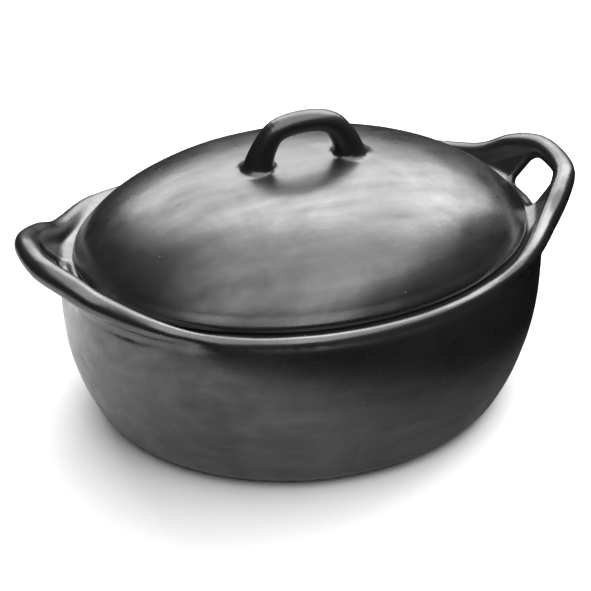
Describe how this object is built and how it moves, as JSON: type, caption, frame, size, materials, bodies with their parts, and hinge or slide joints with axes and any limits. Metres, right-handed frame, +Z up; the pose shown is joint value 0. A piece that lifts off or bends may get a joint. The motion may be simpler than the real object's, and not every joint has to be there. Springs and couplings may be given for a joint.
{
  "type": "lidded oval cooking pot",
  "caption": "Oval black clay cooking pot with a flat base, an ear handle with a finger hole at each end and a domed lid that carries a strap handle.",
  "frame": {"origin": "on the table under the middle of the pot, at the bottom centre of its bounding box", "axes": "+Z up; +X along the pot's length, through both ear handles; +Y across the pot"},
  "size_m": [0.377, 0.2674, 0.2038],
  "materials": {
    "burnished_black_clay": "hand-burnished, reduction-fired black earthenware, satin"
  },
  "bodies": {
    "pot": {"bowl": "burnished_black_clay", "rim_coil": "burnished_black_clay", "lid_seat_coil": "burnished_black_clay", "left_ear_handle": "burnished_black_clay", "right_ear_handle": "burnished_black_clay"},
    "lid": {"lid_dome": "burnished_black_clay", "lid_edge_coil": "burnished_black_clay", "lid_handle": "burnished_black_clay"}
  },
  "joints": [
    {"name": "lid_lift", "type": "slide", "parent": "pot", "child": "lid", "axis": [0, 0, 1], "range_m": [0, 0.12]}
  ]
}
